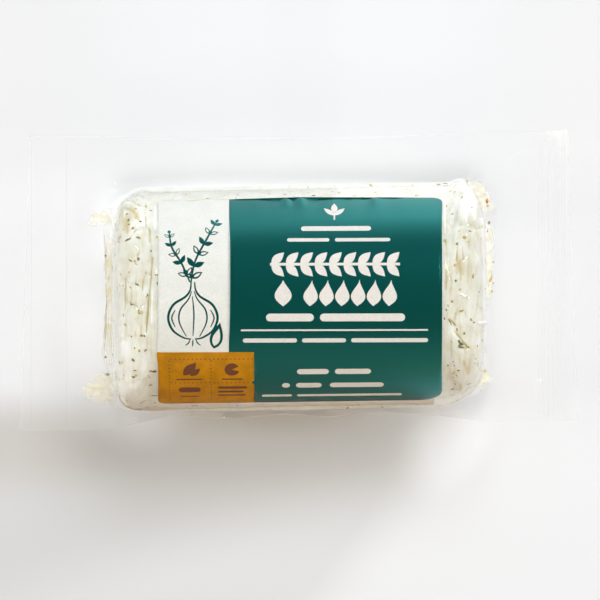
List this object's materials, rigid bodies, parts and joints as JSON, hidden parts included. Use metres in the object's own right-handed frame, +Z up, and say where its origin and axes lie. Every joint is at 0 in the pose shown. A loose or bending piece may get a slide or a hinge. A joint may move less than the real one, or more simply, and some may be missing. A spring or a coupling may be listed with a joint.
{
  "type": "garlic and herb goat cheese log in a vacuum pouch",
  "caption": "Short log of soft white cheese flecked with herbs, vacuum-sealed in a clear pouch with a flat flange all round, and a printed label wrapped over its front.",
  "frame": {"origin": "on the surface that the pack lies on, under the middle of the whole pouch", "axes": "+X along the log, +Y across it towards the wider side of the flange, +Z up out of the label"},
  "size_m": [0.1132, 0.061, 0.0414],
  "materials": {
    "pouch_film": "clear glossy film drawn tight over the cheese, and clear where the two sheets meet",
    "label_print": "satin film-faced paper printed in teal green, off-white and ochre",
    "cheese": "moist creamy off-white curd",
    "herbs": "dried olive, brown and ochre flakes"
  },
  "bodies": {
    "root": {"sealed_pouch": "pouch_film", "label": "label_print"}
  },
  "joints": []
}
